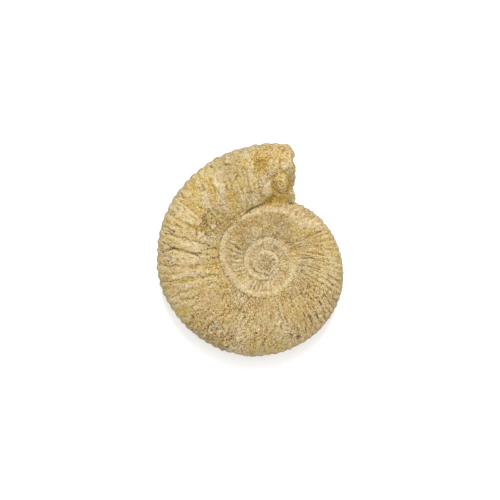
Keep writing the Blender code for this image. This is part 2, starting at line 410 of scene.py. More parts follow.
def chain_steps(tree, values, steps):
    """Add a Math node for each line of a list of steps, which reads earlier values."""
    for line in steps.strip().splitlines():
        name, _, reckoning = line.strip().partition(" = ")
        if name.startswith("#"):
            continue
        words = reckoning.split()
        place = next(i for i, word in enumerate(words) if word in OPERATIONS)
        settings = {"operation": OPERATIONS[words[place]], "label": name}
        links = {}
        sources = (" ".join(part) for part in (words[:place], words[place + 1:]) if part)
        for socket, source in enumerate(sources):
            if source in values:
                links[socket] = values[source]
            elif source in STEP_NUMBERS:
                settings[socket] = STEP_NUMBERS[source]
            else:
                settings[socket] = float(source)
        values[name] = add(tree, "ShaderNodeMath", settings, links).outputs[0]


def chain_curves(tree, values, curves, source):
    """Add the Float Curve nodes of a list of rules, which all read one value."""
    for name, rule in curves:
        node = add(tree, "ShaderNodeFloatCurve", {"label": name}, {"Value": values[source]})
        fill_curve(node, rule, CURVE_STATIONS)
        values[name] = node.outputs[0]


def coil_tree():
    """The node tree that lays a ribbed, closed tube along the coil."""
    tree = bpy.data.node_groups.new("ribbed coil", "GeometryNodeTree")
    faces = tree.interface
    faces.new_socket("Geometry", in_out="OUTPUT", socket_type="NodeSocketGeometry")
    for name in ("Columns", "Rows", "Cap Columns", "Hidden Rows"):
        faces.new_socket(name, in_out="INPUT", socket_type="NodeSocketInt")
    for name, _ in TUBE_INPUTS:
        faces.new_socket(name, in_out="INPUT", socket_type="NodeSocketFloat")
    faces.new_socket("Stone", in_out="INPUT", socket_type="NodeSocketMaterial")
    given = add(tree, "NodeGroupInput")
    values = {socket.name: socket for socket in given.outputs if socket.name}
    grid = add(tree, "GeometryNodeMeshGrid", {},
               {"Vertices X": values["Columns"], "Vertices Y": values["Rows"]})
    values["index"] = add(tree, "GeometryNodeInputIndex").outputs[0]
    chain_steps(tree, values, PLACE_STEPS)
    chain_curves(tree, values, ALONG_CURVES, "along")
    chain_curves(tree, values, ACROSS_CURVES, "part")
    chain_steps(tree, values, LEAN_STEPS)
    chain_curves(tree, values, SEAM_CURVES, "seam along")
    chain_steps(tree, values, SECTION_STEPS)
    spot = add(tree, "ShaderNodeCombineXYZ", {},
               {"X": values["x"], "Y": values["y"], "Z": values["z"]})
    placed = add(tree, "GeometryNodeSetPosition", {},
                 {"Geometry": grid.outputs["Mesh"], "Position": spot.outputs[0]})
    marked = add(tree, "GeometryNodeStoreNamedAttribute", {"data_type": "FLOAT", "Name": "rise"},
                 {"Geometry": placed.outputs[0], "Value": values["rise"]})
    merged = add(tree, "GeometryNodeMergeByDistance", {"Distance": WELD},
                 {"Geometry": marked.outputs[0]})
    named = add(tree, "GeometryNodeInputNamedAttribute", {"data_type": "FLOAT", "Name": "rise"})
    normal = add(tree, "GeometryNodeInputNormal")
    push = add(tree, "ShaderNodeVectorMath", {"operation": "SCALE"},
               {0: normal.outputs[0], "Scale": named.outputs[0]})
    ribbed = add(tree, "GeometryNodeSetPosition", {},
                 {"Geometry": merged.outputs[0], "Offset": push.outputs[0]})
    whole = add(tree, "GeometryNodeRealizeInstances", {}, {"Geometry": ribbed.outputs[0]})
    dressed = add(tree, "GeometryNodeSetMaterial", {},
                  {"Geometry": whole.outputs[0], "Material": values["Stone"]})
    add(tree, "NodeGroupOutput", {}, {"Geometry": dressed.outputs[0]})
    return tree


def build_tube(stone):
    """Run the coil's tree and keep what it makes as a plain mesh."""
    tree = coil_tree()
    sizes = dict(TUBE_INPUTS)
    sizes.update({"Columns": COLUMNS, "Rows": ROWS, "Cap Columns": CAP_COLUMNS,
                  "Hidden Rows": HIDDEN_ROWS, "Stone": stone})
    settings = {"node_group": tree}
    settings.update({item.identifier: sizes[item.name]
                     for item in tree.interface.items_tree if item.in_out == "INPUT"})
    return modified(bpy.data.meshes.new("coil"), "NODES", settings)


# ------------------------------------------------------------ joined lumps

# Middle x, y, z and radius, from the coil's axis.
MOUTH_KNOBS = (
    (10.5, 27.9, 4.0, 2.2), (8.7, 35.2, 5.5, 4.0), (8.7, 38.8, 5.5, 3.9),
    (8.7, 44.4, 2.0, 3.5), (8.2, 33.0, -5.5, 4.4), (8.1, 40.5, -5.0, 4.6),
)
# What filled the seam by the mouth, and the hub: a middle and three half sizes.
SEAM_FILL = ((4.2, 26.9, 4.8), (6.0, 1.9, 2.6))
HUB_FILL = ((*HUB, 0.0), (9.6, 9.6, 5.0))
BALL_LEVELS = 4
FACES_DOWN = -0.25         # the height of a normal that counts as facing the ground


def add_balls(mesh, balls):
    """Add rounded bodies, each a middle and three half sizes, to a mesh."""
    built = bmesh.new()
    built.from_mesh(mesh)
    for middle, size in balls:
        place = Matrix.Translation(middle) @ Matrix.Diagonal((*size, 1.0))
        bmesh.ops.create_icosphere(built, subdivisions=BALL_LEVELS, radius=1.0, matrix=place)
    built.to_mesh(mesh)
    built.free()


def fuse_skin(mesh):
    """Fuse everything in a mesh into one closed skin of even faces."""
    return modified(mesh, "REMESH", {"mode": "VOXEL", "voxel_size": SKIN_GRAIN})


def thin_underside(mesh):
    """Keep fewer faces where the stone faces the ground."""
    below = read_points(mesh.vertex_normals, "vector")[:, 2] < FACES_DOWN
    ratio = 1 - below.mean() * (1 - UNDERSIDE_KEPT)
    return modified(mesh, "DECIMATE", {"vertex_group": "chosen", "ratio": ratio},
                    np.flatnonzero(below).tolist())


# ------------------------------------------------------- places on the skin

# The stone's own unevenness: the size of its features, in millimetres, and a seed.
COARSE, MEDIUM, FINE, CRUMBS = (7.0, 1), (2.6, 2), (1.0, 3), (0.6, 8)
STRAYS = ((2.4, 4), (2.4, 5))
NOISE_GAIN = 1.6           # brings smooth noise to about -1 to 1
# How far apart each kind of noise is taken for two seeds.
GRAIN_SHIFT = Vector((17.3, 5.1, 11.7))
COMB_SHIFT = Vector((9.1, 3.3, 7.7))
CELL_SHIFT = Vector((13.1, 4.7, 8.9))
TURNS = 3
RIB_WANDER = (1.0, 2.5)    # degrees, on the outer and on the inner whorls
TOP_STARTS = (-1.0, 1.0)   # the heights between which the underside turns into the top
PATCH_WARP = 0.5           # how far the patches' outlines wander, in millimetres
PATH_WARP = 0.25           # and how far the grooves wander


class Skin:
    """The fused skin's points: where each lies on the coil, its push and its tints."""

    def __init__(self, mesh):
        self.spots = read_points(mesh.vertices, "co")
        self.normals = read_points(mesh.vertex_normals, "vector")
        self.x, self.y, self.z = self.spots.T
        off_x, off_y = self.x - HUB[0], self.y - HUB[1]
        self.radius = np.hypot(off_x, off_y)
        angle = np.degrees(np.arctan2(off_y, off_x)) % 360
        angle = np.where(angle < MOUTH_SEAM_ANGLE, angle + 360, angle)
        self.turn = sum((self.radius < seam_radius(angle + 360 * count)).astype(int)
                        for count in range(TURNS))
        self.coil = angle + 360 * self.turn
        inner = seam_radius(self.coil)
        outer = np.where(self.turn == 0, venter_radius(angle), seam_radius(self.coil - 360))
        self.part = np.clip((self.radius - inner) / (outer - inner), 0, 1)
        self.top = blend(*TOP_STARTS, self.z)
        self.coarse, self.medium, self.fine = (self.grain(*size_and_seed) for size_and_seed
                                               in (COARSE, MEDIUM, FINE))
        self.stray_x, self.stray_y = (self.grain(*stray) for stray in STRAYS)
        wander = np.where(self.turn > 0, RIB_WANDER[1], RIB_WANDER[0]) * self.medium
        self.rib = self.coil - rib_lean(angle) * (1 - self.part) + wander
        self.push = np.zeros(len(self.x))
        self.rough = np.zeros(len(self.x))
        self.tints = {name: np.zeros(len(self.x)) for name in TINTS}

    def grain(self, size, seed):
        """Smooth random values between about -1 and 1, with features of one size."""
        shift = GRAIN_SHIFT * seed
        return NOISE_GAIN * np.array([noise.noise(Vector(spot) / size + shift)
                                      for spot in self.spots])

    def combed(self, across, along, seed):
        """Random values drawn out along the ribs: degrees across and millimetres along."""
        shift = COMB_SHIFT * seed
        places = zip(self.rib, self.radius, self.z)
        return NOISE_GAIN * np.array([
            noise.noise(Vector((rib / across, radius / along, z / along)) + shift)
            for rib, radius, z in places])

    def cells(self, size, seed):
        """Distance from the nearest of many scattered points, over their spacing."""
        shift = CELL_SHIFT * seed
        return np.array([noise.voronoi(Vector(spot) / size + shift)[0][0]
                         for spot in self.spots])

    def oval(self, x, y, half_x, half_y, turn):
        """Distance from an oval's middle in plan, where 1 is its edge."""
        across = self.x + PATCH_WARP * self.stray_x - x
        along = self.y + PATCH_WARP * self.stray_y - y
        c, s = cos(radians(turn)), sin(radians(turn))
        return np.hypot((across * c + along * s) / half_x, (along * c - across * s) / half_y)

    def near_path(self, path):
        """Distance in plan from a line through a few points, and the part along it."""
        x, y = self.x + PATH_WARP * self.stray_x, self.y + PATH_WARP * self.stray_y
        nearest = np.full(len(x), np.inf)
        along = np.zeros(len(x))
        runs = list(zip(path, path[1:]))
        for number, ((x0, y0), (x1, y1)) in enumerate(runs):
            run_x, run_y = x1 - x0, y1 - y0
            share = (x - x0) * run_x + (y - y0) * run_y
            share = np.clip(share / (run_x ** 2 + run_y ** 2), 0, 1)
            away = np.hypot(x - x0 - share * run_x, y - y0 - share * run_y)
            along = np.where(away < nearest, (number + share) / len(runs), along)
            nearest = np.minimum(nearest, away)
        return nearest, along

    def beat(self, step, first, half_width):
        """1 in the grooves that come round every few degrees, and 0 between them."""
        away = (self.rib - first + step / 2) % step - step / 2
        return bell(np.radians(away) * self.radius, half_width)

    def tint(self, name, share):
        """Lay a tint over what is there, by a share from 0 to 1."""
        self.tints[name] = np.maximum(self.tints[name], np.clip(share, 0, 1))


def read_points(items, name):
    """All the values of a mesh's points or normals, as rows of three."""
    values = np.empty(len(items) * 3)
    items.foreach_get(name, values)
    return values.reshape(-1, 3)


def bell(away, half_width):
    """A smooth hump: 1 where away is 0, about a third at its half width."""
    return np.exp(-(away / half_width) ** 2)


# --------------------------------------------------------------- carving

# The dirt tint also holds painted shade, the pale tint painted highlights, and the grey tint the
# rim's painted shade.
TINTS = ("dirt_and_shade", "ochre", "yellow", "pale_and_highlight", "grey_and_rim_shade")

# How rough the stone has weathered: everywhere, in coarse patches, and on inner whorls,
# most of all at the hub.
BASE_ROUGH, PATCH_ROUGH, INNER_ROUGH, HUB_ROUGH = 0.45, 0.35, 0.3, 0.18
INNER_TURNS = (0.5, 1.5)
HUB_STARTS = (6.0, 4.5)
ROUGH_RANGE = (0.2, 1.4)
# Stretches that are rougher: first and last angle and their fade, the part of the whorl's
# height at which they begin and have ended, and the roughness and dirt that they add.
ROUGH_STRETCHES = (
    (225, 330, 20, 0.82, 0.95, 0.4, 0.2),
    (150, 245, 15, 0.25, 0.45, 0.5, 0.0),
    (0, 88, 16, 1.0, 1.1, 0.4, 0.0),
)
# How far the unevenness of each size moves the surface, in millimetres.
COARSE_RISE, MEDIUM_RISE, FINE_RISE, CRUMB_RISE = 0.2, 0.08, 0.12, 0.12
# Pocks: spacing and seed, half width over the spacing, depth, dirt, and where they are.
POCKS, POCK_HALF_WIDTH, POCK_DEPTH, POCK_DIRT = (1.7, 6), 0.3, 0.28, 0.35
POCKED = (-0.3, 0.4)
# What runs along the ribs: degrees across, millimetres along, seed; and its own sizes.
BANDS, BAND_RISE, BAND_PALE, BAND_YELLOW = (2.4, 8.0, 7), 0.1, 0.35, 0.5
PALE_BANDS, YELLOW_BANDS = (0.15, 0.8), (0.0, 0.8)
YELLOW_STRETCH = (80, 240, 20)
WRINKLES, WRINKLE_RISE, WRINKLE_DIRT = (1.3, 2.6, 9), 0.1, 0.35
SMOOTH_WRINKLES = 0.4      # the share of the wrinkles that smooth stone keeps
DIRTY_WRINKLES = (0.3, 1.0)
VEINS, VEIN_HALF_WIDTH = ((3.2, 4.0, 11), (3.2, 4.0, 12)), 0.11
VEINED, VEIN_DEPTH, VEIN_DIRT = (-0.6, 0.4), 0.1, 0.25

# Painted shade on the rim, where the stone turns over, grey in patches: how steep the stone is,
# how squarely it faces outwards, its radius, and the stretch whose painted shade is also darker.
RIM_SHADE_GREY, RIM_SHADE_DARK = 0.75, 0.25
RIM_STEEP, RIM_FACING, RIM_RADII = (0.62, 0.3), (0.3, 0.6), (20, 24)
RIM_DARKER_STRETCH = (225, 350, 25)
# Dents in the mouth's edge, between its knobs: y, half width and depth.
MOUTH_DENTS = ((30.6, 1.4, 1.1), (34.0, 1.2, 0.3), (42.4, 1.6, 0.5))
MOUTH_FACING, MOUTH_EDGE = (0.3, 0.7), (6.0, 9.0)

# Cracks and grooves of the top, by their points in plan.
CRACKS = (
    ((-39.8, 16.4), (-37.9, 15.6), (-35.1, 14), (-36.7, 12.7), (-39.8, 13.5)),
    ((-40.6, 9.9), (-37.9, 8.7), (-35.9, 7.5)),
    ((-41.8, 6.7), (-39.8, 5.9), (-37.9, 6.3), (-35.9, 7.5), (-33.1, 6.7), (-29.9, 5.9),
     (-27.1, 5.1), (-25.2, 3.9)),
    ((-32.7, 29.3), (-31.5, 27.3)),
    ((-37.9, 1.9), (-36.7, 2.7), (-35.9, 1)),
    ((-22.8, 7.1), (-19.6, 7.5), (-18.4, 6.7)),
    ((-20.4, 3.1), (-17.2, 3.5)),
)
DEEP_GROOVES = (
    ((-35.1, 0.6), (-31.9, -0.6), (-29.1, -0.2), (-23.6, 0.2), (-20.4, 0.6), (-16.8, 1.5)),
    ((-24, -1.8), (-21.2, -0.6), (-17.6, 0.6)),
    ((-37.9, -7.4), (-33.9, -6.2), (-30.3, -5.8), (-27.1, -5), (-24, -4.2), (-18.4, -3)),
    ((-39.8, -4.6), (-36.3, -5)),
    ((-24.4, 19.6), (-22.8, 17.2), (-21.6, 15.2)),
    ((-20.8, 22), (-18.8, 19.2), (-16.4, 16.4)),
    ((-26.7, 14.8), (-25.2, 15.6), (-23.6, 14)),
    ((-2.5, -7), (-2.9, -10.2)),
    ((-4.9, -7.4), (-5.7, -9.8)),
    ((-28.7, -19.1), (-28.3, -21.1)),
)
SOFT_GROOVES = (
    ((-35, 19.2), (-29, 16.6), (-25.6, 15.6)),
    ((-28.7, 32.9), (-26.3, 28.5), (-25.2, 26.9)),
    ((-24, 32.9), (-23.2, 30.1)),
    ((-23.2, 35.3), (-20.8, 30.9), (-18.4, 25.6)),
    ((-21.6, 35.7), (-19.2, 30.9), (-16.8, 25.2)),
    ((-16.4, 36.1), (-14.8, 31.3), (-12.9, 25.2)),
    ((-25.2, 26.5), (-23.2, 26)),
    ((-29.5, 26.5), (-26.3, 24.4), (-23.2, 22.8), (-22, 21.2)),
    ((-30.7, 24.4), (-27.1, 21.6), (-24, 18)),
    ((-31.5, 22.8), (-27.9, 20), (-25.2, 17.6)),
    ((-35.5, 18), (-31.5, 15.2), (-29.1, 13.5)),
    ((-13.7, 30.5), (-12.1, 25.6), (-10.9, 21.6)),
    ((-9.3, 31.3), (-7.3, 27.3), (-6.1, 23.2)),
    ((-10.9, 35.3), (-9.3, 32.9), (-8.1, 30.5)),
    ((-12.1, 42.6), (-10.5, 38.5)),
    ((-37.1, -10.6), (-33.1, -10.2), (-28.7, -9.8)),
    ((-33.1, -14.3), (-28.3, -12.3), (-24, -10.6), (-20, -8.6)),
    ((-23.6, -16.3), (-20, -13.9)),
    ((-19.2, -18.3), (-16.4, -16.3), (-12.5, -13.1)),
    ((-16.4, -21.1), (-13.3, -17.9), (-10.5, -15.1)),
    ((-12.5, -22.7), (-10.1, -18.3), (-7.3, -14.7)),
    ((-8.1, -27.6), (-6.5, -23.5), (-5.3, -19.5)),
    ((-4.1, -32), (-3.3, -28.4), (-2.9, -24.4)),
)
FINE_GROOVES = (
    ((12.5, 0.2), (15.7, 0.6), (19.3, -0.2), (23.3, -2.2), (27.2, -4.6), (30, -6.2)),
    ((14.5, -2.2), (17.7, -3.8), (20.9, -5.8), (23.3, -7.4)),
    ((14.1, 3.1), (18.5, 3.5), (22.5, 2.3), (26, 0.6)),
    ((15.7, 5.5), (19.7, 5.5), (23.7, 4.3)),
    ((14.9, 7.5), (19.3, 8.7), (24.4, 7.9)),
    ((13.3, 9.5), (17.7, 12.3), (22.5, 14), (25.6, 13.1)),
    ((21.7, -3.8), (24.8, -5.4), (27.6, -7.8)),
    ((26.4, -7.4), (28.8, -9.8)),
    ((24.4, -7.8), (26.8, -10.2), (28, -12.3)),
    ((10.6, -7.8), (12.1, -9.8), (12.9, -12.3)),
    ((12.9, -7.4), (14.9, -9.4), (16.5, -11.9)),
    ((14.9, -17.9), (16.1, -20.3)),
    ((2.6, -17.9), (2.6, -20.7)),
    ((-4.9, -0.6), (-3.4, -2), (-1.8, -2.6), (-0.2, -2.8), (1.2, -3.5), (2, -4.1)),
    ((1.2, -3.6), (2, -4.1), (3, -3), (3.8, -1.6)),
)
# The short grooves near the lower edge.
EDGE_GROOVES = (
    ((23.3, -10.6), (25.2, -13.5), (26.4, -15.5)),
    ((21.3, -13.9), (22.9, -16.3), (24, -18.7)),
    ((18.9, -15.9), (20.5, -18.7), (21.7, -21.5)),
    ((17.3, -18.7), (18.9, -21.9), (18.9, -25.2)),
    ((14.9, -20.3), (16.5, -23.5), (16.5, -27.2)),
    ((12.9, -24), (13.7, -27.2), (13.3, -29.6)),
    ((0.3, -28.4), (0.1, -30), (-0.5, -32.2)),
    ((3.1, -28), (2.8, -31.4)),
)
# The golden trench round the ringed shell, and the arcs in the crust about it.
TRENCHES = (
    ((3.4, 34.4), (3.8, 31.6), (4.7, 29.8), (6.2, 28.9), (7.8, 29.1), (9.2, 29.8),
     (9.8, 31.6), (9.8, 33.6), (9.2, 35.6), (8.2, 37.4)),
    ((4.2, 28.2), (2.4, 26.2), (0, 25.4)),
    ((6.8, 37.6), (7.8, 36.4)),
)
CRUST_ARCS = (
    ((3, 44.2), (1.4, 41.4), (0.6, 38.5), (1.8, 36.1), (4.2, 35.7), (5.8, 37.3)),
    ((4.2, 41.4), (2.6, 40.2), (2.2, 38.1), (3.4, 36.9)),
    ((6.6, 41.8), (5.8, 39.4), (7, 37.7), (9, 38.1), (9.8, 40.2)),
    ((-1.3, 31.7), (-1.3, 27.3)),
    ((2.6, 32.5), (3, 28.1)),
    ((2.6, 45.4), (3.4, 47), (5.4, 47), (6.2, 45), (5, 43.4), (3, 43.8)),
    ((-2.9, 43.4), (-2.5, 44.6), (-1, 45), (-0.2, 43.4), (-1.3, 42.2), (-2.5, 42.6)),
    ((-3.7, 33.3), (-3.7, 30.5)),
    ((9, 46.6), (10.2, 45), (11.3, 44.2)),
    ((-4.5, 28.5), (-2.9, 27.3), (-1.7, 25.6)),
    ((-6.5, 36.1), (-6.1, 32.5)),
    ((-5.3, 23.6), (-9.5, 21.2), (-13.2, 17.8), (-16, 14.6)),
)
# Each kind of cut: its paths, depth, half width, worn shoulders, and its floor's tint.
CUTS = (
    (CRACKS, 0.6, 0.28, 0.2, "dirt_and_shade", 0.8),
    (DEEP_GROOVES, 0.4, 0.4, 0.4, "ochre", 0.6),
    (SOFT_GROOVES, 0.28, 0.4, 0.3, "ochre", 0.6),
    (FINE_GROOVES, 0.3, 0.22, 0.1, "dirt_and_shade", 0.52),
    (EDGE_GROOVES, 0.45, 0.34, 0.2, "dirt_and_shade", 0.75),
    (TRENCHES, 0.75, 0.75, 0.3, "ochre", 1),
    (CRUST_ARCS, 0.4, 0.3, 0.2, "ochre", 0.6),
)
SHOULDER = 3.0             # how wide a cut's worn shoulders are, in half widths
CUT_ENDS = (0.06, 0.94, 0.06)      # the parts of a path between which a cut is whole
PIT_DIRT = 0.8

# Pits: x, y, two half sizes, turn and depth.
PITS = (
    (-14.2, 40.7, 1.5, 0.85, -5, 0.8), (-20.4, 40, 0.7, 0.6, 0, 0.7),
    (-17.4, 39.6, 0.7, 0.4, 0, 0.5), (-10.6, 35.6, 0.5, 0.9, 0, 0.6),
    (-5, 29.4, 0.9, 0.7, 0, 0.4), (-28.3, -20.4, 0.4, 0.7, 0, 0.6),
    (7, -24.5, 0.35, 1.1, 0, 0.7), (15.8, -19.3, 0.35, 0.8, 20, 0.6),
    (14.7, -2.2, 0.6, 0.4, 10, 0.6), (10.6, -12.4, 0.4, 0.5, 0, 0.4),
    (-2.9, -26.6, 0.7, 0.35, 20, 0.6), (-6.8, -23.2, 0.9, 0.35, 10, 0.6),
    (11.2, -27.6, 0.5, 0.9, 0, 0.5), (13.6, -28.2, 0.4, 0.7, 0, 0.4),
    (12, 7, 0.6, 0.5, 0, 0.3), (4.1, 2.4, 0.5, 0.5, 0, 1.1),
    (-24.5, -4, 0.8, 0.35, 0, 0.4), (-18.8, -25.4, 0.9, 0.5, -20, 0.5),
    (-28.9, -7, 0.6, 0.5, 0, 0.3), (-35.6, 7.4, 0.5, 0.4, 0, 0.6),
    (-40, 5.6, 0.5, 0.35, 0, 0.7), (-39.4, 13.5, 0.5, 0.35, 0, 0.7),
    (-35.3, 14, 0.4, 0.4, 0, 0.6), (0.4, 46.4, 0.9, 0.4, 0, 0.5),
    (7.6, 46.6, 0.8, 0.5, 0, 0.6), (-1.4, 42, 0.8, 0.35, 0, 0.5),
    (3.8, 42.3, 0.5, 0.3, 0, 0.4), (4, 36.2, 0.6, 0.3, 20, 0.5),
)
# Lumps that grew on the stone: x, y, two half sizes, turn, rise and rings on their backs.
LUMPS = (
    (6.9, 33.2, 2.3, 3.4, 8, 0.8, 2), (3.3, 39.4, 2.3, 3.2, -8, 0.45, 2),
    (1.5, 30.4, 2, 3.4, 4, 0.8, 0), (7.8, 39.8, 1.7, 1.7, 0, 0.35, 1),
    (4.4, 45.2, 1.9, 1.9, 0, 0.2, 1), (-1.4, 43.8, 1.3, 1.2, 0, 0.25, 1),
    (-4.6, 33.8, 1.6, 4, 8, 0.3, 0), (10.8, 27.9, 1.6, 2.2, 0, 0.5, 0),
    (-19.6, 16, 1.3, 1.1, 0, 0.6, 0), (-29.5, 28.9, 1.7, 1.4, 0, 0.3, 0),
)
TALLEST_LUMP = 0.8         # on which the rings are strongest
LUMP_EDGE = (1.12, 0.75)   # from outside to inside, in half sizes
LUMP_SMOOTHING, LUMP_DOME, LUMP_CLEANING, LUMP_POLISH = 0.85, 0.25, 0.5, 0.4
RING_EDGE, RING_HEIGHT, RING_PALE, RING_CLEANING = (1.2, 1.0), 0.24, 0.8, 0.7

# Where the flank has flaked off: first and last angle, near and far radius, depth, dirt.
FLAKED = ((130, 152, 22.5, 29.5, 0.4, 0.3), (218, 243, 31.5, 42.0, 0.5, 0.15))
STEP_ANGLE, STEP_RADIUS = 4.0, 1.6         # how sharply their edges drop

# The smooth ridge that runs along the inner whorls: angle less a turn, radius.
RIDGE = (
    (65, 22.2), (90, 21.2), (100, 20.4), (120, 20), (140, 19.4), (160, 17.9),
    (180, 15.9), (200, 13.7), (220, 12.9), (240, 12.9), (260, 12.5), (300, 11.8), (330, 11.3),
    (350, 10.8), (375, 9.6), (450, 8.4), (480, 8), (540, 7.4), (600, 6.2),
    (640, 5.8), (680, 5.2), (720, 4.4), (820, 4.4), (1150, 4.4),
)
# From the first turn of the ridge to the second, between these angles.
SECOND_RIDGE = (390, 460)
RIDGE_HEIGHTS = (0.3, 0.25)
RIDGE_HALF_WIDTHS = (1.3, 2.4)
WIDE_RIDGE = (170, 215, 20, 0.5)   # a stretch that is wider by this share
BROKEN_RIDGE = (600, 720, 0.6)     # where wear has broken it, by this share, in patches
RIDGE_BREAKS = (0.3, -0.3)
RIDGE_ROUGH_RANGE = (0.15, 1.4)
FLOOR_SLOPE, FLOOR_DEPTH, FLOOR_DIRT, FLOOR_OCHRE = 1.6, 0.2, 0.15, 0.4
# Places that wear has rounded, as ovals in plan: the hub, the seam by the mouth, and a
# stretch of the seam further in.
WORN_PLACES = (
    (2, 2.2, 13.5, 13.5, 0), (4.2, 26.8, 8.5, 3, 3), (-13, 18.2, 7, 1.5, 37),
)
WORN_EDGE = (1.15, 0.8)
WEAR_ROUNDS = 60
# The creases along the seam, darkened with painted shade: first and last angle, depth and half
# width.
CREASES = (
    (90, 104, 0.4, 0.3), (104, 150, 0.25, 0.3), (385, 520, 0.2, 0.8), (590, 640, 0.2, 0.5),
)
CREASE_FADE = 8
# Painted shade darkens hollows of two sizes: rounds of smoothing that find them, and its gain.
HOLLOWS = ((5, 6.0), (45, 0.3))
# The painted shade's strength in hollows, the painted highlight's on what stands proud, and how
# much less shade ochre takes.
HOLLOW_SHADE, PROUD_HIGHLIGHT, OCHRE_KEPT_UNSHADED = 0.45, 0.5, 0.8
UNDER_SHADE, UNDER_FACING = 0.3, (-0.6, 0.0)    # the share of it on faces that look down

# Stains of each tint: x, y, two half sizes, turn and strength.
STAINS = {
    "ochre": (
        (6.9, 32.4, 3.6, 5.6, 8, 0.7), (5.4, 27.6, 4, 2.2, -15, 1), (9.6, 32.6, 1, 4, 0, 1),
        (4.3, 30.4, 1.3, 3.4, 10, 1), (7.8, 36.8, 1.8, 0.8, 0, 1), (-1.3, 29.5, 0.6, 2.4, 0, 0.9),
        (-1, 41.8, 3.4, 4.4, 0, 1), (0.6, 43.6, 1.2, 2, 0, 0.8), (1, 47.4, 1.8, 0.9, 0, 0.8),
        (6.2, 42.4, 1, 1.4, 0, 0.7), (6, 45.6, 4, 2.2, 0, 0.35), (4.4, 26, 6, 1.3, 6, 1),
        (11.8, 39.2, 1.4, 3.4, 0, 0.8), (15.9, 13.6, 3.6, 1.2, 10, 0.6),
        (-25.4, 15.3, 3.4, 1.4, -20, 0.7), (-15.5, 15.6, 3.4, 1.6, 40, 0.5),
        (12, 5, 2.4, 4, 0, 0.4),
    ),
    "yellow": (
        (-32, -17.6, 3.8, 1.8, 10, 1), (-38, 18.2, 1.8, 1.6, 0, 0.4),
        (-20.2, 31, 1, 5.4, 27, 0.7), (-12.6, 26.5, 1.9, 6.2, 10, 0.6),
        (-27.4, 10.2, 3, 1, 0, 0.4), (-27.6, 30, 1.6, 3.6, 30, 0.7),
        (-32.5, 25, 3.6, 1.6, 0, 0.35), (-9, 33, 1.6, 3.8, 20, 0.4),
        (14.2, -19.4, 2.2, 1.4, 0, 0.3), (-36, 10.6, 4, 1.6, -10, 0.4),
        (0.8, -30, 7, 3.2, 0, 0.4), (-12.6, 30, 2.4, 7, 8, 0.35), (22, 4, 7, 12, 0, 0.18),
    ),
    "dirt_and_shade": (
        (-1, 41.4, 2.8, 3.6, 0, 0.4), (0.6, 0.8, 3.6, 3.4, 0, 0.45), (11.8, 39, 1.2, 3.4, 0, 0.3),
        (-12.5, 37.7, 6, 3.2, 12, 0.3), (-20.6, 18.6, 3, 3.4, 30, 0.3),
        (-23.2, 17.6, 1.1, 2.8, 38, 0.6), (-10, 15.5, 5.5, 3.5, 30, 0.3),
        (-9, 10, 2.2, 4, 0, 0.3), (4.6, 18.5, 6.5, 3, -10, 0.35), (-0.9, -14.4, 3, 1.4, 0, 0.35),
        (18.4, -8.9, 2.4, 1.4, -20, 0.4), (-4.9, 29.3, 1.2, 0.8, 0, 0.6),
        (9.6, 31.5, 0.8, 3.6, 0, 0.4), (-1.6, 41.9, 1.6, 0.7, 0, 0.7),
        (-21.5, -30, 9, 2.6, -38, 0.35),
    ),
    "pale_and_highlight": (
        (-18.2, -24, 2.4, 1.6, -35, 1), (-15.5, -25.5, 3, 1.2, 30, 0.6),
        (-17.8, 29.7, 1.2, 4.9, 22, 1), (-8.2, 28.3, 1.2, 4.6, 15, 0.9),
        (-23.4, 28, 1.1, 4.2, 28, 0.8), (-29.1, 20.2, 5.4, 2, -38, 0.9),
        (-29.5, 28.9, 1.7, 1.4, 0, 0.8), (-29, 9, 7.5, 2, -8, 0.6), (-29.5, 3, 7.5, 2, -3, 0.5),
        (-29.5, -3, 7.5, 1.8, 5, 0.4), (-19.6, 16, 1.2, 1, 0, 0.9), (18.2, 16.8, 4, 2.4, 20, 0.5),
        (0.4, 24, 3, 1.2, 10, 0.6), (21.5, -15.5, 2.6, 1.8, 0, 0.4),
        (8.4, 39.4, 0.9, 0.8, 0, 0.8), (-3.5, 26.4, 3, 1.8, 0, 0.7),
        (7.4, 31.8, 1.6, 2.2, 8, 0.2), (1.4, 30.6, 2.2, 3.4, 4, 1), (0.5, 1.2, 12, 12, 0, 0.6),
    ),
    "grey_and_rim_shade": (
        (3.8, 39.4, 2, 2.6, 0, 0.3), (1.2, 31, 1.8, 3, 4, 0.15), (10.4, 38, 0.9, 4.5, 0, 0.8),
        (-18.5, -24.4, 3.2, 1.6, -30, 0.6), (0.6, 1, 4.5, 4, 0, 0.2), (9, 38.5, 1, 1.8, 20, 0.6),
        (-11, 44, 12, 4, 22, 0.35),
    ),
}
STAIN_EDGE = (1.3, 0.5)    # from outside to inside, in half sizes

# Stretches of ribs: first and last angle along the coil, from and to which part of the
# whorl's height, beats to a rib, height, the share that wear left everywhere, the grooves'
# half width, and whether they are on the underside.
RIBBED = (
    (157, 198, 0.24, 0.86, 1, 0.26, 0.5, 0.36, False),
    (98, 156, 0.2, 0.84, 1, 0.2, 0.3, 0.4, False),
    (215, 300, 0.2, 0.8, 1, 0.14, 0.2, 0.4, False),
    (150, 235, 0.72, 0.95, 2, 0.2, 0.4, 0.3, False),
    (352, 394, 0.16, 0.72, 2, 0.1, 0.3, 0.2, False),
    (242, 338, 0.7, 0.92, 2, 0.11, 0.1, 0.22, False),
    (505, 580, 0.1, 0.5, 1, 0.36, 0.5, 0.42, False),
    (600, 646, 0.12, 0.6, 1.15, 0.32, 0.4, 0.34, False),
    (92, 420, 0.2, 0.9, 1, 0.5, 0.4, 0.6, True),
)
RIB_FADE, RIB_END_FADE = 7, 0.1    # in degrees along the coil, and in parts across it
RIBS_LEFT = (-0.5, 0.2)
RIB_ROUNDNESS = 0.7                # the power that rounds a rib's back
RIB_MEAN = 0.6                     # taken off, so that ribs don't swell the stone
GROOVE_DEPTH, GROOVE_DIRT, RIB_PALE = 0.6, 1.1, 0.8


